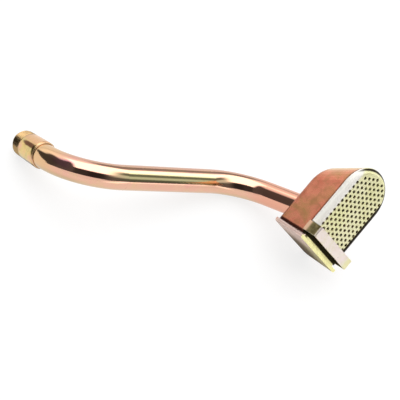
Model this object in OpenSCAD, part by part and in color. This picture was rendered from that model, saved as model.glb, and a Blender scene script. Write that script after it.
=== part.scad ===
// Oil pickup tube for an engine sump.
// A bent tube with a tapered pipe thread at one end and a strainer head at the other.
// Millimetres. The part lies as it comes to rest, on the tube and the back of the head.

/* [Head] */
// Width of the head across its straight sides
head_w = 47.9; // [42:0.1:60]
// Length of the straight sides, from the centre of the round end to the flat end
side_len = 50.5; // [48:0.1:70]
// Depth of the head, from the face of the screen to the back of the hood
head_depth = 34.3; // [28:0.1:42]
// Outside radius of the pressed edges
edge_r = 4.2; // [3:0.1:6]
// Sheet thickness of the hood
hood_t = 1.5; // [1:0.1:2.2]
// Lean of the round end, in degrees away from square
toe_lean = 24.5; // [10:0.5:30]

/* [End plate] */
// Thickness of the plate that closes the flat end
plate_t = 2.8; // [2.4:0.1:5]
// Radius of the rounded outer edge of the plate
plate_round = 1.4; // [0.6:0.1:2.3]
// Overhang of the plate past the back of the hood
plate_over = 1; // [0:0.1:5]
// Overhang of the plate past each side of the hood
plate_side = 2.5; // [0:0.1:4]
// Radius of the plate's back corners
plate_r = 5; // [4:0.1:9]
// Lean of the plate towards the back of the hood, in degrees
plate_lean = 2; // [0:0.1:3]
// Width of the groove at the seam
groove_w = 1.8; // [0.6:0.1:2.5]
// Depth of the groove at the seam
groove_d = 0.9; // [0.4:0.1:0.9]

/* [Screen] */
// Sheet thickness of the screen
screen_t = 1.2; // [0.8:0.1:1.5]
// Distance between neighbouring holes
hole_pitch = 4.45; // [3.8:0.05:6]
// Diameter of each hole
hole_d = 2.6; // [1.8:0.1:3.2]
// Columns of holes across the head
hole_columns = 10; // [6:1:12]
// Place of the hole field along the head
hole_offset = 0.05; // [-2.2:0.05:2.2]
// Blank border between the outermost hole centres and the rounded rim
hole_border = 0.5; // [0:0.1:4]

/* [Standoff strap] */
// Width of the strap
strap_w = 8.4; // [5:0.1:11]
// Thickness of the strap
strap_t = 1.5; // [1:0.1:1.8]
// Clear height of the strap above the screen
strap_gap = 7.1; // [4:0.1:14]
// Outside radius of the strap's bends
strap_r = 2; // [1.8:0.1:6]
// Length of strap leg that lies on the side of the hood
strap_lap = 0.6; // [0.5:0.1:10]
// Distance from the flat end to the middle of the strap
strap_setback = 6.1; // [5.6:0.1:20]

/* [Tube] */
// Outside diameter of the tube
tube_od = 19.05; // [16:0.05:20]
// Wall thickness of the tube
tube_wall = 1.65; // [1:0.05:2.5]
// Radius of both bends, on the centre line
bend_r = 44.45; // [36:0.05:60]
// Loss of radius where the tube is drawn round a bend
bend_draw = 0.03; // [0.02:0.01:0.1]
// Distance from the centre of the round end back to the tube
entry_x = 30.5; // [28:0.1:34]
// Distance from the middle of the head sideways to the tube
entry_y = 7.1; // [0:0.1:8]
// Angle between the lower leg and the back of the hood
riser_angle = 65; // [60:0.5:80]
// Straight length of the lower leg outside the hood
riser_len = 33.1; // [24:0.1:60]
// Sideways heading of the tube, in degrees from square to the head
run_heading = 34.5; // [0:0.1:60]
// Straight length of the middle run between the bends
run_len = 78.7; // [30:0.1:160]
// Angle of the bend at the threaded leg
leg_angle = 85; // [30:0.5:90]
// Straight length from the second bend to the open end
leg_len = 34.2; // [34:0.1:80]
// Clearance round the tube in the back of the hood
entry_clearance = 0.1; // [0.05:0.05:0.3]
// Width of the weld bead round the tube
weld_w = 2.5; // [1.5:0.1:2.6]

/* [Threaded end] */
// Diameter over the thread at the large end
thread_d = 21.3; // [21:0.05:24]
// Length of the tapered thread
thread_len = 20; // [12:0.1:20]
// Length of the plain shoulder behind the thread
shoulder_len = 12.2; // [6:0.1:12.2]
// Taper of the thread on the diameter, as one part in this many
taper_ratio = 16; // [12:1:24]
// Bore of the open end
mouth_d = 15.2; // [13:0.05:15.4]
// Depth of the tube's socket in the shoulder
socket_depth = 10; // [6:0.1:12]
// Gap between the end of the tube and the bottom of its socket
socket_gap = 0.8; // [0.5:0.1:1.5]
// Clearance round the tube in its socket
socket_clearance = 0.05; // [0.05:0.05:0.2]
// Chamfer at the back of the shoulder
shoulder_chamfer = 0.3; // [0.2:0.1:0.6]
// Loss of radius over the chamfer that starts the thread
lead_chamfer = 1.7; // [0.6:0.1:1.9]
// Length of the chamfer that starts the thread
lead_len = 3.2; // [0.8:0.1:4]

/* [Rest] */
// Turn about X that lays the part down
rest_x = -133.01; // [-180:0.01:180]
// Turn about Y that lays the part down
rest_y = -24.02; // [-180:0.01:180]
// Turn about Z that sets its length along X
rest_z = 63.18; // [-180:0.01:180]
// Shift along X to the middle of the part
shift_x = 122.49; // [-200:0.01:200]
// Shift along Y to the middle of the part
shift_y = 9.26; // [-200:0.01:200]
// Shift along Z that puts the lowest point at zero
shift_z = 59.3; // [-200:0.01:200]

/* [Hidden] */
$fn = 96;

// Head
head_r = head_w / 2;
slice_t = 0.01;
plate_turn = min(plate_lean, atan((groove_w - 0.2) / (head_depth + plate_over)));

// Screen
column_gap = hole_pitch * sqrt(3) / 2;
hole_reach = head_r - edge_r - hole_border;
hole_rows = ceil((side_len + head_r) / hole_pitch) + hole_columns;

// Strap
strap_x = -side_len + strap_setback;
strap_inner_w = head_w;
strap_outer_w = strap_inner_w + 2 * strap_t;
strap_h = strap_t + strap_gap + edge_r + strap_lap;

// Tube
tube_r = tube_od / 2;
tube_bore_r = tube_r - tube_wall;
tube_inset = tube_r / tan(riser_angle) + hood_t / sin(riser_angle) + 1;
bend_lap = 0.3;
seam_turn = 37;

// Threaded end
nipple_len = thread_len + shoulder_len;
socket_r = tube_r + socket_clearance;
mouth_r = mouth_d / 2;
thread_r = thread_d / 2;
tip_r = thread_r - thread_len / taper_ratio / 2;
braze_w = thread_r - shoulder_chamfer - tube_r;
tube_leg = leg_len - nipple_len + socket_depth - socket_gap;

// Placing

module at_rest() {
  translate([shift_x, shift_y, shift_z])
    rotate([rest_x, rest_y, rest_z])
      children();
}

module at_entry() {
  translate([-entry_x, -entry_y, head_depth])
    rotate([0, 90 - riser_angle, -90 - run_heading])
      children();
}

module past_bend(angle) {
  translate([bend_r, 0, 0])
    rotate([0, angle, 0])
      translate([-bend_r, 0, 0])
        children();
}

module at_run() {
  at_entry()
    translate([0, 0, riser_len])
      past_bend(riser_angle)
        rotate([0, 0, 180])
          children();
}

module at_leg() {
  at_run()
    translate([0, 0, run_len])
      past_bend(leg_angle)
        children();
}

module at_nipple() {
  at_leg()
    translate([0, 0, leg_len - nipple_len])
      children();
}

// Tube

module bend_arc(angle, r) {
  translate([bend_r, 0, 0])
    rotate([90, 0, 180])
      rotate_extrude(angle = angle)
        translate([bend_r, 0])
          circle(r = r - bend_draw);
}

module tube_path(r, over) {
  union() {
    at_entry()
      translate([0, 0, -tube_inset - over])
        cylinder(h = tube_inset + over + riser_len + bend_lap, r = r);
    at_entry()
      translate([0, 0, riser_len])
        bend_arc(riser_angle, r);
    at_run()
      translate([0, 0, -bend_lap])
        cylinder(h = run_len + 2 * bend_lap, r = r);
    at_run()
      translate([0, 0, run_len])
        bend_arc(leg_angle, r);
    at_leg()
      translate([0, 0, -bend_lap])
        cylinder(h = bend_lap + tube_leg + over, r = r);
  }
}

module pickup_tube() {
  at_rest()
    color("goldenrod")
      difference() {
        tube_path(tube_r, 0);
        tube_path(tube_bore_r, 1);
      }
}

// Threaded end

module threaded_end() {
  at_rest()
    color("darkgoldenrod")
      at_nipple()
        rotate_extrude()
          polygon([
            [socket_r, 0],
            [thread_r - shoulder_chamfer, 0],
            [thread_r, shoulder_chamfer],
            [thread_r, shoulder_len],
            [tip_r + lead_len / taper_ratio / 2, nipple_len - lead_len],
            [tip_r - lead_chamfer, nipple_len],
            [mouth_r, nipple_len],
            [mouth_r, socket_depth],
            [socket_r, socket_depth]
          ]);
}

module thread_weld() {
  at_rest()
    color("burlywood")
      at_nipple()
        rotate_extrude()
          difference() {
            translate([tube_r, -braze_w])
              square([braze_w, braze_w]);
            translate([tube_r + braze_w, -braze_w])
              circle(r = braze_w);
          }
}

// Head

module d_outline(r, centre_x, end_x) {
  translate([centre_x, 0])
    circle(r = r, $fn = 48);
  translate([end_x, -r])
    square([centre_x - end_x, 2 * r]);
}

module d_slice(z, r, end_x) {
  translate([0, 0, z])
    linear_extrude(height = slice_t)
      d_outline(r, -(z - edge_r) * tan(toe_lean), end_x);
}

module hood_outer() {
  hull() {
    d_slice(edge_r, head_r, -side_len);
    for (a = [0:15:90])
      d_slice(head_depth - slice_t - edge_r + edge_r * sin(a), head_r - edge_r + edge_r * cos(a), -side_len);
  }
}

module hood_inner() {
  inner_r = head_r - hood_t;
  inner_edge = edge_r - hood_t;
  hull() {
    d_slice(edge_r - 1, inner_r, -side_len - 1);
    for (a = [0:22.5:90])
      d_slice(
        head_depth - edge_r + inner_edge * sin(a),
        inner_r - inner_edge + inner_edge * cos(a),
        -side_len - 1
      );
  }
}

module hood() {
  at_rest()
    color("peru")
      difference() {
        hood_outer();
        hood_inner();
        at_entry()
          translate([0, 0, -tube_inset])
            rotate([0, 0, seam_turn])
              cylinder(h = 2 * tube_inset, r = tube_r + entry_clearance);
      }
}

module tube_weld() {
  at_rest()
    color("burlywood")
      intersection() {
        at_entry()
          translate([0, 0, -tube_inset])
            rotate([0, 0, seam_turn])
              difference() {
                cylinder(h = 3 * tube_inset, r = tube_r + weld_w);
                translate([0, 0, -1])
                  cylinder(h = 3 * tube_inset + 2, r = tube_r);
              }
        translate([-entry_x - head_w, -entry_y - head_w, head_depth])
          cube([2 * head_w, 2 * head_w, weld_w]);
      }
}

module plate_outline(inset) {
  r = edge_r - inset;
  w = head_w - 2 * inset;
  h = head_depth - 2 * inset;
  translate([0, inset]) {
    translate([-w / 2, r])
      square([w, h - 2 * r]);
    translate([-w / 2 + r, 0])
      square([w - 2 * r, h]);
    for (side = [-1, 1])
      for (z = [r, h - r])
        translate([side * (w / 2 - r), z])
          circle(r = r);
  }
}

module plate_puck() {
  rotate_extrude($fn = 48) {
    square([plate_r, plate_t - plate_round]);
    square([plate_r - plate_round, plate_t]);
    translate([plate_r - plate_round, plate_t - plate_round])
      intersection() {
        circle(r = plate_round, $fn = 32);
        square([plate_round, plate_round]);
      }
  }
}

module plate_body() {
  reach = head_r + plate_side - plate_r;
  intersection() {
    hull()
      for (side = [-1, 1])
        for (z = [0, head_depth + plate_over - plate_r])
          translate([side * reach, z, 0])
            plate_puck();
    translate([-head_w, 0, -1])
      cube([2 * head_w, 2 * head_depth, plate_t + 2]);
  }
}

module end_plate() {
  at_rest()
    color("darkkhaki")
      translate([-side_len, 0, 0])
        rotate([90, 0, -90])
          union() {
            linear_extrude(height = groove_w)
              plate_outline(groove_d);
            translate([0, 0, groove_w])
              rotate([-plate_turn, 0, 0])
                plate_body();
          }
}

// Screen

module cap_profile() {
  square([head_r - edge_r, screen_t]);
  translate([head_r - edge_r, edge_r])
    intersection() {
      difference() {
        circle(r = edge_r);
        circle(r = edge_r - screen_t);
      }
      translate([0, -edge_r])
        square([edge_r, edge_r]);
    }
}

module screen_cap() {
  rotate([0, 0, -90])
    rotate_extrude(angle = 180)
      cap_profile();
  translate([-side_len, 0, 0])
    rotate([90, 0, 90])
      linear_extrude(height = side_len) {
        cap_profile();
        mirror([1, 0])
          cap_profile();
      }
}

function kept(x, y) =
  x > -side_len + hole_d / 2 + 0.5 &&
  abs(y) < hole_reach + 0.01 &&
  (x < 0 || norm([x, y]) < hole_reach + 0.01);

module screen_holes() {
  for (i = [0:hole_columns - 1])
    for (j = [-hole_rows:hole_rows]) {
      x = hole_offset + hole_pitch * (i / 2 - j);
      y = column_gap * (i - (hole_columns - 1) / 2);
      if (kept(x, y))
        translate([x, y, -1])
          cylinder(h = screen_t + 2, r = hole_d / 2, $fn = 24);
    }
}

module screen() {
  at_rest()
    color("khaki")
      difference() {
        screen_cap();
        screen_holes();
      }
}

// Standoff strap

module u_outline(w, h, r) {
  translate([-w / 2, r])
    square([w, h - r]);
  translate([-w / 2 + r, 0])
    square([w - 2 * r, r]);
  for (side = [-1, 1])
    translate([side * (w / 2 - r), r])
      circle(r = r);
}

module standoff_strap() {
  at_rest()
    color("tan")
      translate([strap_x - strap_w / 2, 0, -strap_gap - strap_t])
        rotate([90, 0, 90])
          linear_extrude(height = strap_w)
            difference() {
              u_outline(strap_outer_w, strap_h, strap_r);
              translate([0, strap_t])
                u_outline(strap_inner_w, strap_h, strap_r - strap_t);
            }
}

threaded_end();
pickup_tube();
hood();
end_plate();
screen();
standoff_strap();
tube_weld();
thread_weld();
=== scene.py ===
import math
import bpy
from mathutils import Matrix, Vector


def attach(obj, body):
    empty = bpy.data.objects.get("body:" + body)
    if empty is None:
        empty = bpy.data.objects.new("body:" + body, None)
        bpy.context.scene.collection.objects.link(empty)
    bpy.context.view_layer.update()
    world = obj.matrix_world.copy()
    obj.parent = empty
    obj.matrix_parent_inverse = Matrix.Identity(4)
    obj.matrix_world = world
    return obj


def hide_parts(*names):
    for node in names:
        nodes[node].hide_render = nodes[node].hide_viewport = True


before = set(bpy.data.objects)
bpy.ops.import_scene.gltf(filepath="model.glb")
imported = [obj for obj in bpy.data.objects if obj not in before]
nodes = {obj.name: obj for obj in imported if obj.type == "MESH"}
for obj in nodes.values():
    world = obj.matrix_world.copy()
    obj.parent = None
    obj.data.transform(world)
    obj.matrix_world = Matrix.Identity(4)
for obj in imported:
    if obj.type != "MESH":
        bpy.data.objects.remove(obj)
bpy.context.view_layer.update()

scene = bpy.context.scene


# Sizes of the part in millimetres and degrees, as in its source

MM = 0.001
HEAD_DEPTH = 34.3
TUBE_OD = 19.05
BEND_R = 44.45
RISER_FOOT = (-30.5, -7.1, HEAD_DEPTH)
RISER_ANGLE = 65.0
RISER_LEN = 33.1
RUN_HEADING = 34.5
RUN_LEN = 78.7
LEG_ANGLE = 85.0
LEG_LEN = 34.2
THREAD_D = 21.3
THREAD_LEN = 20.0
SHOULDER_LEN = 12.2
REST_PLACE = (122.49, 9.26, 59.3)
REST_TURN_Z = 63.18
REST_TURN_Y = -24.02
REST_TURN_X = -133.01

TUBE_R = TUBE_OD / 2
RISER_TILT = 90.0 - RISER_ANGLE
THREAD_R = THREAD_D / 2
NIPPLE_LEN = THREAD_LEN + SHOULDER_LEN


# Frames of the part, in millimetres

def move(x, y, z):
    return Matrix.Translation((x, y, z))


def spin(degrees, axis):
    return Matrix.Rotation(math.radians(degrees), 4, axis)


def past_bend(degrees):
    return move(BEND_R, 0, 0) @ spin(degrees, "Y") @ move(-BEND_R, 0, 0)


def in_metres(matrix):
    scaled = matrix.copy()
    scaled.translation = matrix.to_translation() * MM
    return scaled


# Head frame: z = 0 on the screen's face, +z to the hood's back, +x to the round end
rest = move(*REST_PLACE) @ spin(REST_TURN_Z, "Z") @ spin(REST_TURN_Y, "Y") @ spin(REST_TURN_X, "X")

# The tube's straight lengths and the nipple, in the head frame, each with +z along the tube
riser = move(*RISER_FOOT) @ spin(-90.0 - RUN_HEADING, "Z") @ spin(RISER_TILT, "Y")
run = riser @ move(0, 0, RISER_LEN) @ past_bend(RISER_ANGLE) @ spin(180.0, "Z")
leg = run @ move(0, 0, RUN_LEN) @ past_bend(LEG_ANGLE)
nipple = leg @ move(0, 0, LEG_LEN - NIPPLE_LEN)

TO_HEAD = in_metres(rest).inverted()
TO_NIPPLE = in_metres(rest @ nipple).inverted()


# Camera

CAMERA_PLACE = (-0.087079, -0.388021, 0.675084)
CAMERA_RIGHT = Vector((0.9507, 0.189218, 0.245696))
CAMERA_UP = Vector((-0.284628, 0.846937, 0.449092))
CAMERA_BACK = CAMERA_RIGHT.cross(CAMERA_UP)
LENS = 90.0
SENSOR = 36.0
NEAR_CLIP = 0.01

camera_data = bpy.data.cameras.new("camera")
camera_data.lens = LENS
camera_data.sensor_width = SENSOR
camera_data.clip_start = NEAR_CLIP
camera = bpy.data.objects.new("camera", camera_data)
scene.collection.objects.link(camera)
camera_turn = Matrix((CAMERA_RIGHT, CAMERA_UP, CAMERA_BACK)).transposed().to_4x4()
camera.matrix_world = Matrix.Translation(CAMERA_PLACE) @ camera_turn
scene.camera = camera

scene.view_settings.view_transform = "Standard"


# Node helpers

class Tree:
    """Short ways to add and link nodes. A value may be a number or another node's output."""

    def __init__(self, tree):
        self.tree = tree

    def node(self, kind, **values):
        made = self.tree.nodes.new(kind)
        for key, value in values.items():
            if hasattr(made, key):
                setattr(made, key, value)
            else:
                self.put(made.inputs[key], value)
        return made

    def put(self, socket, value):
        if hasattr(value, "is_output"):
            self.tree.links.new(value, socket)
        else:
            socket.default_value = value

    def math(self, operation, a, b):
        made = self.node("ShaderNodeMath", operation=operation)
        self.put(made.inputs[0], a)
        self.put(made.inputs[1], b)
        return made.outputs[0]

    def both(self, *values):
        """Product of masks."""
        made = values[0]
        for value in values[1:]:
            made = self.math("MULTIPLY", made, value)
        return made

    def either(self, *values):
        """Greatest of masks."""
        made = values[0]
        for value in values[1:]:
            made = self.math("MAXIMUM", made, value)
        return made

    def ramp(self, value, stops):
        """Colour ramp. A stop is a place and either a colour or a grey level."""
        made = self.node("ShaderNodeValToRGB")
        points = made.color_ramp.elements
        while len(points) < len(stops):
            points.new(0.5)
        for point, (place, colour) in zip(points, stops):
            point.position = place
            if not hasattr(colour, "__len__"):
                colour = (colour, colour, colour)
            point.color = (*colour, 1.0)
        self.put(made.inputs[0], value)
        return made.outputs[0]

    def spread(self, value, low, high, to_low=0.0, to_high=1.0, kind="LINEAR"):
        made = self.node("ShaderNodeMapRange", interpolation_type=kind)
        self.put(made.inputs["Value"], value)
        self.put(made.inputs["From Min"], low)
        self.put(made.inputs["From Max"], high)
        self.put(made.inputs["To Min"], to_low)
        self.put(made.inputs["To Max"], to_high)
        return made.outputs[0]

    def step(self, value, low, high):
        """Mask that rises smoothly from 0 at low to 1 at high, which may be the smaller of the two."""
        return self.spread(value, low, high, kind="SMOOTHSTEP")

    def blend(self, factor, a, b):
        """From colour a to colour b. Inputs 6 and 7 of the Mix node are its colours."""
        made = self.node("ShaderNodeMix", data_type="RGBA", clamp_factor=True)
        self.put(made.inputs[0], factor)
        for socket, colour in ((6, a), (7, b)):
            self.put(made.inputs[socket], colour if hasattr(colour, "is_output") else (*colour, 1.0))
        return made.outputs[2]

    def coat(self, colour, mask, paint, strength=1.0):
        """A paint laid over a colour where a mask says."""
        if strength < 1.0:
            mask = self.both(mask, strength)
        return self.blend(mask, colour, paint)

    def noise(self, place, scale, detail, rough, twist=0.0):
        made = self.node("ShaderNodeTexNoise", Scale=scale, Detail=detail, Roughness=rough, Distortion=twist)
        self.put(made.inputs["Vector"], place)
        return made.outputs[0]

    def axes(self, vector, names):
        made = self.node("ShaderNodeSeparateXYZ")
        self.put(made.inputs[0], vector)
        return [made.outputs[name] for name in names]

    def dot(self, vector, fixed):
        made = self.node("ShaderNodeVectorMath", operation="DOT_PRODUCT")
        self.put(made.inputs[0], vector)
        self.put(made.inputs[1], fixed)
        return made.outputs["Value"]

    def along(self, place, base):
        """Distance of a place in the head frame along another frame's z axis."""
        axis = base.to_3x3().col[2]
        start = base.to_translation() * MM
        return self.math("SUBTRACT", self.dot(place, axis), start.dot(axis))

    def turned(self, vector, matrix, kind):
        """A world point or direction in another frame."""
        made = self.node("ShaderNodeMapping", vector_type=kind)
        self.put(made.inputs["Vector"], vector)
        if kind == "POINT":
            self.put(made.inputs["Location"], matrix.to_translation())
        self.put(made.inputs["Rotation"], matrix.to_euler())
        return made.outputs[0]


# Light: soft banks over the part, from the front horizon at 0 degrees over the top to the back at 180

TOP = 2.6
ROOM = (0.028, 0.028, 0.028)

world = bpy.data.worlds.new("world")
scene.world = world
world.use_nodes = True
sky = Tree(world.node_tree)
toward = sky.node("ShaderNodeTexCoord").outputs["Generated"]
dx, dy, dz = sky.axes(toward, "XYZ")
arc = sky.math("DIVIDE", sky.math("ARCTAN2", dz, sky.math("MULTIPLY", dy, -1.0)), math.pi)


def bank(stops):
    """Light by angle, from pairs of degrees and level."""
    return sky.ramp(arc, [(degrees / 180.0, level / TOP) for degrees, level in stops])


middle = bank([(0, 1.0), (19, 1.0), (24, 0.03), (76, 0.03), (82, TOP), (147, TOP), (155, 0.35), (180, 0.35)])
near_left = bank([(0, 1.0), (18, 1.0), (23, 0.05), (76, 0.05), (82, TOP), (140, TOP), (150, 1.3), (180, 0.9)])
left = bank([(0, 1.0), (15, 1.0), (21, 0.11), (112, 0.11), (124, 1.2), (142, 1.4), (168, 1.3), (180, 0.9)])
far_left = bank([(0, 1.0), (15, 1.0), (21, 0.10), (144, 0.10), (156, 1.2), (168, 1.3), (180, 0.9)])
right = bank([
    (0, 1.7), (11, 1.7), (17, 0.14), (60, 0.16), (76, 0.85), (94, 0.90), (104, 0.24), (120, 0.24),
    (130, TOP), (156, TOP), (164, 0.4), (180, 0.4),
])

# Where each bank starts and is full, by the direction's share along x
spans = [
    (near_left, 0.00, -0.16), (left, -0.41, -0.52), (far_left, -0.62, -0.74), (right, 0.25, 0.65),
    (ROOM, -0.80, -0.88),
]
light = middle
for side_light, start, full in spans:
    light = sky.blend(sky.step(dx, start, full), light, side_light)
background = world.node_tree.nodes["Background"]
sky.put(background.inputs["Color"], light)
sky.put(background.inputs["Strength"], TOP)


# Floor: plain to the light, and a pale sheet with the part's shadow to the camera and to mirrors

FLOOR_SIZE = 8.0
FLOOR_COLOUR = (0.8, 0.8, 0.8, 1.0)
SHEET_COLOUR = (0.25, 0.25, 0.25, 1.0)
SHEET_GLOW = 0.80

bpy.ops.mesh.primitive_plane_add(size=FLOOR_SIZE, location=(0, 0, 0))
floor = bpy.context.object
floor.name = "floor"
floor_mat = bpy.data.materials.new("floor")
floor_mat.use_nodes = True
floor_mat.node_tree.nodes.clear()
ground = Tree(floor_mat.node_tree)
ray = ground.node("ShaderNodeLightPath").outputs
seen = ground.either(ray["Is Glossy Ray"], ray["Is Transmission Ray"], ray["Is Camera Ray"])
sheet = ground.node("ShaderNodeAddShader")
ground.put(sheet.inputs[0], ground.node("ShaderNodeBsdfDiffuse", Color=SHEET_COLOUR).outputs[0])
ground.put(sheet.inputs[1], ground.node("ShaderNodeEmission", Strength=SHEET_GLOW).outputs[0])
pick = ground.node("ShaderNodeMixShader")
ground.put(pick.inputs[0], seen)
ground.put(pick.inputs[1], ground.node("ShaderNodeBsdfDiffuse", Color=FLOOR_COLOUR).outputs[0])
ground.put(pick.inputs[2], sheet.outputs[0])
ground.put(ground.node("ShaderNodeOutputMaterial").inputs["Surface"], pick.outputs[0])
floor.data.materials.append(floor_mat)


# Plated metal: clouded colour with flecks, paint by place, painted shade in the corners and a fine grain

# Painted shade: colour darkened in corners and between parts, where nearby surfaces hem a point in
CORNER_SHADE = (0.06, 0.022, 0.010)
CORNER_SHADE_FADE = (0.62, 0.30)
CORNER_SHADE_SAMPLES = 8
FLECK_FADE = (0.48, 0.68)
FLECK_STRENGTH = 0.6
ROUGH_FADE = (0.3, 0.7)
GRAIN_SCALE = 1600.0
GRAIN_HEIGHT = 0.2 * MM
GRAIN_STRENGTH = 0.06
METAL = 1.0
GLOSS = 0.5


def plating(name, palette, scale, fleck, fleck_colour, rough, paint=None, frame_in=TO_HEAD, reach=3.5 * MM):
    mat = bpy.data.materials.new(name)
    mat.use_nodes = True
    t = Tree(mat.node_tree)
    place = t.turned(t.node("ShaderNodeTexCoord").outputs["Object"], frame_in, "POINT")
    normal = t.turned(t.node("ShaderNodeNewGeometry").outputs["Normal"], frame_in, "VECTOR")
    cloud = t.noise(place, scale, detail=3.0, rough=0.55, twist=0.6)
    spots = t.noise(place, fleck, detail=5.0, rough=0.65, twist=0.3)
    colour = t.coat(t.ramp(cloud, palette), t.step(spots, *FLECK_FADE), fleck_colour, FLECK_STRENGTH)
    metal = METAL
    gloss = GLOSS
    if paint:
        colour, metal, gloss = paint(t, place, normal, colour, spots)
    # Painted shade in corners and between parts, from ambient occlusion
    shade = t.node("ShaderNodeAmbientOcclusion", samples=CORNER_SHADE_SAMPLES, Distance=reach).outputs["AO"]
    colour = t.coat(colour, t.step(shade, *CORNER_SHADE_FADE), CORNER_SHADE)
    grain = t.noise(place, GRAIN_SCALE, detail=2.0, rough=0.6)
    bump = t.node("ShaderNodeBump", Strength=GRAIN_STRENGTH, Distance=GRAIN_HEIGHT, Height=grain)
    bsdf = mat.node_tree.nodes["Principled BSDF"].inputs
    t.put(bsdf["Base Color"], colour)
    t.put(bsdf["Metallic"], metal)
    t.put(bsdf["Specular IOR Level"], gloss)
    t.put(bsdf["Roughness"], t.spread(spots, *ROUGH_FADE, *rough))
    t.put(bsdf["Normal"], bump.outputs[0])
    return mat


# Paint by place: each function gives a colour, a metallic level and a specular level

SCREEN_METAL = 0.75
MARGIN_LESS_METAL = 0.70
SCREEN_MARGIN_HIGHLIGHT = (0.98, 0.95, 0.88)
SCREEN_RIM_DARK_REFLECTION = (0.020, 0.014, 0.006)
STRAP_SHADOW_ON_SCREEN = (0.030, 0.024, 0.010)


def paint_screen(t, place, normal, colour, spots):
    """Painted highlight as a pale margin on one side, a painted dark reflection as a black line round the
    rest of the rim, painted shadow under the strap.
    """
    x, y = t.axes(place, "XY")
    nx, ny, nz = t.axes(normal, "XYZ")
    # Painted highlight: a pale margin along one side, with less metal
    margin = t.step(y, -16.5 * MM, -19.0 * MM)
    # Painted dark reflection: a black line round the rim where it turns away
    rim = t.either(t.step(nx, 0.35, 0.60), t.step(ny, 0.10, 0.25), t.step(y, 18.1 * MM, 18.6 * MM))
    line = t.both(rim, t.step(nz, -0.15, -0.40))
    # Painted shadow of the strap on the screen beneath it
    strap_shadow = t.step(x, -38.5 * MM, -40.0 * MM)
    colour = t.coat(colour, margin, SCREEN_MARGIN_HIGHLIGHT)
    colour = t.coat(colour, line, SCREEN_RIM_DARK_REFLECTION)
    colour = t.coat(colour, strap_shadow, STRAP_SHADOW_ON_SCREEN)
    metal = t.math("SUBTRACT", SCREEN_METAL, t.both(margin, MARGIN_LESS_METAL))
    gloss = t.math("SUBTRACT", GLOSS, t.both(t.either(line, strap_shadow), GLOSS))
    return colour, metal, gloss


PLATE_SHADE_FRONT = (0.62, 0.55, 0.34)
PLATE_SHADE_BACK = (0.26, 0.21, 0.15)
PLATE_SHADE_NEAR_LIP = (0.86, 0.68, 0.60)
PLATE_LIP = (0.94, 0.70, 0.62)
PLATE_EDGE = (0.90, 0.84, 0.42)
PLATE_INSIDE_SHADE = (0.030, 0.022, 0.010)


def paint_plate(t, place, normal, colour, spots):
    """Painted shade on the dull outside face, darkest towards the back and paler by the lip; pink lip; yellow
    front edge; painted shade on the faces inside.
    """
    y, z = t.axes(place, "YZ")
    nx, ny, nz = t.axes(normal, "XYZ")
    # Painted shade on the outside face: darker towards the back, paler by the lip
    to_back = t.step(z, 2.0 * MM, 22.0 * MM)
    to_lip = t.step(y, 4.0 * MM, -20.0 * MM)
    outside = t.step(nx, -0.5, -0.85)
    lip = t.step(ny, -0.45, -0.75)
    edge = t.step(nz, -0.6, -0.9)
    # Painted shade on the faces turned into the hood
    inside = t.step(nx, 0.5, 0.8)
    outside_shade = t.coat(t.blend(to_back, PLATE_SHADE_FRONT, PLATE_SHADE_BACK), to_lip, PLATE_SHADE_NEAR_LIP)
    colour = t.coat(colour, outside, outside_shade)
    colour = t.coat(colour, lip, PLATE_LIP)
    colour = t.coat(colour, edge, PLATE_EDGE)
    colour = t.coat(colour, inside, PLATE_INSIDE_SHADE)
    metal = t.math("SUBTRACT", METAL, outside)
    return colour, metal, t.both(metal, GLOSS)


STRAP_METAL = 0.7
STRAP_END = (0.88, 0.82, 0.48)
STRAP_LEG_SHADE_DARK = (0.13, 0.10, 0.035)
STRAP_LEG_SHADE_PALE = (0.30, 0.24, 0.10)
STRAP_FOOT = (0.90, 0.58, 0.38)


def paint_strap(t, place, normal, colour, spots):
    """Yellow end, and legs painted dark olive as shade, mottled, turning peach at the foot."""
    y, z = t.axes(place, "YZ")
    ny = t.axes(normal, "Y")[0]
    far_end = t.step(y, 17.0 * MM, 21.0 * MM)
    # Painted shade on the legs, mottled, peach at the foot
    leg_side = t.step(t.math("ABSOLUTE", ny, 0.0), 0.6, 0.9)
    mottle = t.step(spots, 0.4, 0.65)
    foot = t.step(z, 0.0, 2.5 * MM)
    leg_shade = t.coat(t.blend(mottle, STRAP_LEG_SHADE_DARK, STRAP_LEG_SHADE_PALE), foot, STRAP_FOOT)
    colour = t.coat(colour, far_end, STRAP_END)
    colour = t.coat(colour, leg_side, leg_shade)
    return colour, STRAP_METAL, GLOSS


HOOD_TOE_HIGHLIGHT = (0.88, 0.42, 0.24)
HOOD_TOE_GOLD_HIGHLIGHT = (0.84, 0.68, 0.36)
HOOD_EDGE_SHADE = (0.14, 0.035, 0.020)
HOOD_BACK = (0.14, 0.070, 0.045)
HOOD_SEAM = (0.05, 0.014, 0.008)
BACK_EDGE_REFLECTION_SHARE = 0.7
BACK_MOTTLE = 0.5


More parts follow.
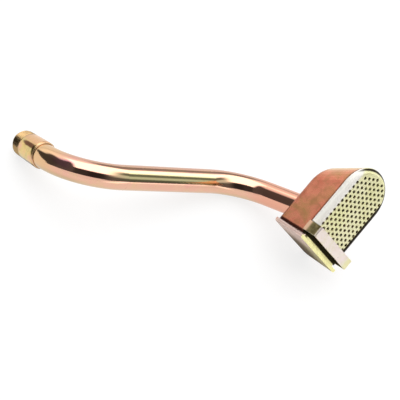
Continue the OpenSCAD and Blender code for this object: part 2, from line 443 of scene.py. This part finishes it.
def paint_hood(t, place, normal, colour, spots):
    """Round end painted lighter and gold as a painted highlight, painted shade along the front edge and a
    painted dark reflection along the back edge, a darker mottled back face, dark seam by the plate.
    """
    x, z = t.axes(place, "XZ")
    nx, nz = t.axes(normal, "XZ")
    # Painted highlight: the round end lighter and more golden as it turns
    toe_highlight = t.step(nx, 0.05, 0.75)
    gold = t.step(nx, 0.42, 0.68)
    # Painted shade along the front edge, and a painted dark reflection along the back edge
    front_edge_shade = t.step(z, 5.8 * MM, 4.8 * MM)
    back_edge_reflection = t.both(t.step(z, 27.0 * MM, 34.2 * MM), BACK_EDGE_REFLECTION_SHARE)
    # Darker, mottled back face
    back_darkening = t.both(t.step(nz, 0.5, 0.9), t.math("SUBTRACT", 1.0, t.both(spots, BACK_MOTTLE)))
    seam = t.step(x, -47.8 * MM, -49.0 * MM)
    colour = t.coat(colour, toe_highlight, HOOD_TOE_HIGHLIGHT, strength=0.85)
    colour = t.coat(colour, gold, HOOD_TOE_GOLD_HIGHLIGHT, strength=0.8)
    colour = t.coat(colour, t.either(front_edge_shade, back_edge_reflection), HOOD_EDGE_SHADE, strength=0.8)
    colour = t.coat(colour, back_darkening, HOOD_BACK)
    colour = t.coat(colour, seam, HOOD_SEAM)
    return colour, METAL, GLOSS


TUBE_FRONT_SIDE = Vector((0.2995, -0.2058, -0.9316))
TUBE_BEND_SIDE = Vector((0.05, -0.75, -0.66))
TUBE_TOP_SIDE = Vector((0.92, -0.35, 0.17))
TUBE_BELOW = (0.66, 0.48, 0.30)
TUBE_TOP_EDGE_DARK_REFLECTION = (0.56, 0.31, 0.21)
TUBE_STRIPE = (0.54, 0.52, 0.26)
TUBE_GOLD = (0.74, 0.50, 0.24)
TUBE_BEND_SHADE = (0.54, 0.39, 0.22)
TUBE_BLOOM = (0.66, 0.28, 0.32)
TUBE_RISER = (0.76, 0.37, 0.26)


def paint_tube(t, place, normal, colour, spots):
    """Tan below, brown painted dark reflection along the top edge, olive stripe on the run, gold and purple
    by the collar, painted shade under the bend, pink riser.
    """
    across = t.dot(normal, TUBE_TOP_SIDE)
    on_run = t.along(place, run)
    up_leg = t.along(place, leg)
    below = t.step(across, -0.72, -0.94)
    # Painted dark reflection: brown along the top edge
    top_edge_reflection = t.step(across, 0.80, 0.95)
    stripe = t.both(
        t.step(on_run, -20.0 * MM, 10.0 * MM), t.step(on_run, 100.0 * MM, 75.0 * MM),
        t.step(t.dot(normal, TUBE_FRONT_SIDE), 0.925, 0.965))
    by_collar = t.step(up_leg, -30.0 * MM, -8.0 * MM)
    # Painted shade on the underside of the bend into the leg
    bend_underside_shade = t.both(t.step(across, -0.55, -0.90), t.step(up_leg, -44.0 * MM, -28.0 * MM))
    bloom = t.both(
        t.step(up_leg, -36.0 * MM, -26.0 * MM), t.step(up_leg, 0.0, -12.0 * MM),
        t.step(t.dot(normal, TUBE_BEND_SIDE), 0.90, 0.97))
    on_riser = t.step(t.along(place, riser), 50.0 * MM, 28.0 * MM)
    colour = t.coat(colour, below, TUBE_BELOW, strength=0.8)
    colour = t.coat(colour, top_edge_reflection, TUBE_TOP_EDGE_DARK_REFLECTION, strength=0.7)
    colour = t.coat(colour, stripe, TUBE_STRIPE, strength=0.85)
    colour = t.coat(colour, by_collar, TUBE_GOLD, strength=0.7)
    colour = t.coat(colour, bend_underside_shade, TUBE_BEND_SHADE, strength=0.7)
    colour = t.coat(colour, bloom, TUBE_BLOOM, strength=0.8)
    colour = t.coat(colour, on_riser, TUBE_RISER, strength=0.85)
    return colour, METAL, GLOSS


THREAD_TAN = (0.76, 0.42, 0.25)
THREAD_OLIVE = (0.30, 0.26, 0.10)
THREAD_UNDERSIDE_SHADE = (0.07, 0.045, 0.025)
THREAD_MARK = (0.12, 0.030, 0.015)
THREAD_TIP = (0.36, 0.24, 0.11)
SIDE_MOTTLE = 0.012
TIP_MOTTLE = 6.0 * MM


def paint_thread(t, place, normal, colour, spots):
    """Tan and olive sides, painted shade along the dark underside, a dark mark along the collar, a stained
    tip.
    """
    z = t.axes(place, "Z")[0]

    def side(degrees, low, high):
        """Mask round one angle of the nipple, with an edge roughened by the spots."""
        angle = math.radians(degrees)
        outward = Vector((math.cos(angle), math.sin(angle), 0.0)) / (THREAD_R * MM)
        return t.step(t.math("ADD", t.dot(place, outward), t.both(spots, SIDE_MOTTLE)), low, high)

    tan_side = side(262.0, 0.70, 0.90)
    olive_side = side(302.0, 0.94, 0.99)
    # Painted shade along the underside
    below = side(118.0, 0.89, 0.95)
    mark = t.both(side(214.0, 0.985, 1.0), t.step(z, 0.0, 3.0 * MM))
    tip = t.step(t.math("ADD", z, t.both(spots, TIP_MOTTLE)), 20.0 * MM, 25.0 * MM)
    colour = t.coat(colour, tan_side, THREAD_TAN, strength=0.7)
    colour = t.coat(colour, olive_side, THREAD_OLIVE, strength=0.7)
    colour = t.coat(colour, below, THREAD_UNDERSIDE_SHADE, strength=0.85)
    colour = t.coat(colour, mark, THREAD_MARK, strength=0.9)
    colour = t.coat(colour, tip, THREAD_TIP, strength=0.9)
    return colour, METAL, GLOSS


# Finishes

thread_zinc = plating(
    "thread_zinc", [(0.30, (0.62, 0.52, 0.24)), (0.48, (0.76, 0.55, 0.22)), (0.66, (0.80, 0.46, 0.30))],
    scale=70.0, fleck=230.0, fleck_colour=(0.62, 0.44, 0.15), rough=(0.14, 0.26),
    paint=paint_thread, frame_in=TO_NIPPLE)
weld_zinc = plating(
    "weld_zinc", [(0.35, (0.62, 0.42, 0.22)), (0.65, (0.74, 0.46, 0.30))],
    scale=150.0, fleck=420.0, fleck_colour=(0.40, 0.25, 0.13), rough=(0.28, 0.44),
    frame_in=TO_NIPPLE, reach=1.0 * MM)
looks = {
    "pickup_tube": plating(
        "tube_zinc", [(0.30, (0.74, 0.48, 0.28)), (0.50, (0.78, 0.46, 0.33)), (0.70, (0.78, 0.40, 0.32))],
        scale=22.0, fleck=120.0, fleck_colour=(0.74, 0.50, 0.30), rough=(0.05, 0.12), paint=paint_tube),
    "hood": plating(
        "hood_zinc", [(0.32, (0.56, 0.17, 0.10)), (0.50, (0.70, 0.25, 0.15)), (0.68, (0.46, 0.25, 0.095))],
        scale=44.0, fleck=170.0, fleck_colour=(0.42, 0.20, 0.085), rough=(0.22, 0.34), paint=paint_hood),
    "end_plate": plating(
        "plate_zinc", [(0.35, (0.86, 0.76, 0.42)), (0.65, (0.88, 0.66, 0.50))],
        scale=70.0, fleck=240.0, fleck_colour=(0.78, 0.66, 0.34), rough=(0.22, 0.36), paint=paint_plate),
    "screen": plating(
        "screen_zinc", [(0.35, (0.90, 0.88, 0.48)), (0.65, (0.95, 0.92, 0.60))],
        scale=60.0, fleck=260.0, fleck_colour=(0.90, 0.82, 0.46), rough=(0.34, 0.46), paint=paint_screen),
    "standoff_strap": plating(
        "strap_zinc", [(0.35, (0.92, 0.84, 0.74)), (0.65, (0.94, 0.80, 0.76))],
        scale=70.0, fleck=260.0, fleck_colour=(0.88, 0.78, 0.56), rough=(0.26, 0.38), paint=paint_strap),
}
for name, mat in looks.items():
    slots = nodes[name].data.materials
    slots.clear()
    slots.append(mat)


# Pieces made here

def grid_piece(name, rings, place, mat, crease):
    """A closed surface from equal rings of points, joined in both directions."""
    count = len(rings)
    size = len(rings[0])
    points = [(place @ Vector(point)) * MM for ring in rings for point in ring]
    faces = []
    for i in range(count):
        for j in range(size):
            k = (i + 1) % count
            m = (j + 1) % size
            faces.append((i * size + j, i * size + m, k * size + m, k * size + j))
    mesh = bpy.data.meshes.new(name)
    mesh.from_pydata(points, [], faces)
    mesh.update()
    mesh.polygons.foreach_set("use_smooth", [True] * len(faces))
    mesh.set_sharp_from_angle(angle=math.radians(crease))
    mesh.materials.append(mat)
    piece = bpy.data.objects.new(name, mesh)
    scene.collection.objects.link(piece)
    return piece


# Threaded end: socket, shoulder, tapered thread and lead chamfer

INCH = 25.4
THREADS_PER_INCH = 14
TAPER_RATIO = 16
SOCKET_CLEARANCE = 0.05
SOCKET_DEPTH = 10.0
SHOULDER_CHAMFER = 0.3
MOUTH_R = 7.6
LEAST_WALL = 0.3
LEAD_LEN = 3.2
LEAD_CHAMFER = 1.7
TIP_R = THREAD_R - THREAD_LEN / TAPER_RATIO / 2
SOCKET_R = TUBE_R + SOCKET_CLEARANCE
PITCH = INCH / THREADS_PER_INCH
THREAD_DEPTH = 0.85
PLAIN_LEN = 7.0
THREAD_FROM = SHOULDER_LEN + PLAIN_LEN
THREAD_FADE_IN = 3.0
THREAD_FADE_OUT = 1.6
CREST_SHARE = 0.12
FLANK_SHARE = 0.76
TURN_STEPS = 96
PLAIN_RINGS = (3.0, 6.0, 9.0, SHOULDER_LEN, 14.0, 16.0)
FINE_FROM = 16.4
FINE_PER_PITCH = 10
THREAD_CREASE = 50


def clamped(share):
    return min(1.0, max(0.0, share))


def outer_radius(z):
    """Plain radius of the nipple's outside at a height above its inner end."""
    if z < SHOULDER_LEN:
        return THREAD_R
    taper = THREAD_R + (TIP_R - THREAD_R) * (z - SHOULDER_LEN) / THREAD_LEN
    lead = max(0.0, z - (NIPPLE_LEN - LEAD_LEN)) / LEAD_LEN
    return taper - lead * LEAD_CHAMFER


def groove(z, angle):
    """Depth of the thread's groove at a height and angle."""
    fade_in = clamped((z - THREAD_FROM) / THREAD_FADE_IN)
    fade_out = clamped((NIPPLE_LEN - z) / THREAD_FADE_OUT)
    phase = (z / PITCH - angle / (2 * math.pi)) % 1.0
    wave = clamped((abs(2 * phase - 1) - CREST_SHARE) / FLANK_SHARE)
    return THREAD_DEPTH * wave * fade_in * fade_out


def turned_ring(radius, z, threaded=False):
    ring = []
    for j in range(TURN_STEPS):
        angle = 2 * math.pi * j / TURN_STEPS
        r = radius
        if threaded:
            r = max(MOUTH_R + LEAST_WALL, radius - groove(z, angle))
        ring.append((r * math.cos(angle), r * math.sin(angle), z))
    return ring


fine_len = NIPPLE_LEN - FINE_FROM
fine_steps = int(fine_len / (PITCH / FINE_PER_PITCH))
fine_rings = [FINE_FROM + fine_len * i / fine_steps for i in range(fine_steps + 1)]
rings = [turned_ring(SOCKET_R, 0.0), turned_ring(THREAD_R - SHOULDER_CHAMFER, 0.0)]
rings += [turned_ring(THREAD_R, SHOULDER_CHAMFER)]
rings += [turned_ring(outer_radius(z), z) for z in PLAIN_RINGS]
rings += [turned_ring(outer_radius(z), z, threaded=True) for z in fine_rings]
rings += [turned_ring(MOUTH_R, NIPPLE_LEN), turned_ring(MOUTH_R, SOCKET_DEPTH)]
rings += [turned_ring(SOCKET_R, SOCKET_DEPTH)]
thread = grid_piece("pipe_thread", rings, rest @ nipple, thread_zinc, THREAD_CREASE)
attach(thread, "root")
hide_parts("threaded_end")


# Weld beads: rippled rounds laid along a joint

BEAD_SIDES = 14
BEAD_RIPPLE = 0.14
BEAD_CREASE = 60
ALONG_TUBE = Vector((0, 0, 1))


def round_the_tube(count):
    """Directions out from the tube's axis, evenly round it."""
    for i in range(count):
        angle = 2 * math.pi * i / count
        yield Vector((math.cos(angle), math.sin(angle), 0))


def bead(name, path, radius, ripples, place, node):
    """A rippled bead along closed path points, each with its outward and upward directions."""
    rings = []
    for i, (point, out, up) in enumerate(path):
        wave = (i * ripples / len(path)) % 1.0
        r = radius * (1.0 - BEAD_RIPPLE + BEAD_RIPPLE * math.sqrt(1.0 - wave))
        ring = []
        for j in range(BEAD_SIDES):
            angle = 2 * math.pi * j / BEAD_SIDES
            ring.append(point + out * (r * math.cos(angle)) + up * (r * math.sin(angle)))
        rings.append(ring)
    piece = grid_piece(name, rings, place, weld_zinc, BEAD_CREASE)
    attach(piece, "root")
    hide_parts(node)


# Bead on the hood's back, which the tilted tube meets in an ellipse
TUBE_BEAD_R = 1.75
TUBE_BEAD_OUT = 0.55
TUBE_BEAD_UP = 0.35
TUBE_BEAD_STEPS = 288
TUBE_BEAD_RIPPLES = 36

slope = math.tan(math.radians(RISER_TILT))
back_up = (spin(-RISER_TILT, "Y") @ ALONG_TUBE).normalized()
path = []
for out in round_the_tube(TUBE_BEAD_STEPS):
    beside_tube = out * (TUBE_R + TUBE_BEAD_OUT)
    point = beside_tube + ALONG_TUBE * (beside_tube.x * slope) + back_up * TUBE_BEAD_UP
    path.append((point, (out - back_up * out.dot(back_up)).normalized(), back_up))
bead("tube_bead", path, TUBE_BEAD_R, TUBE_BEAD_RIPPLES, rest @ riser, "tube_weld")

# Bead at the nipple's inner end
THREAD_BEAD_R = 0.72
THREAD_BEAD_OUT = 0.2
THREAD_BEAD_DROP = 0.15
THREAD_BEAD_STEPS = 192
THREAD_BEAD_RIPPLES = 48

path = []
for out in round_the_tube(THREAD_BEAD_STEPS):
    point = out * (TUBE_R + THREAD_BEAD_OUT) - ALONG_TUBE * THREAD_BEAD_DROP
    path.append((point, out, ALONG_TUBE))
bead("thread_bead", path, THREAD_BEAD_R, THREAD_BEAD_RIPPLES, rest @ nipple, "thread_weld")
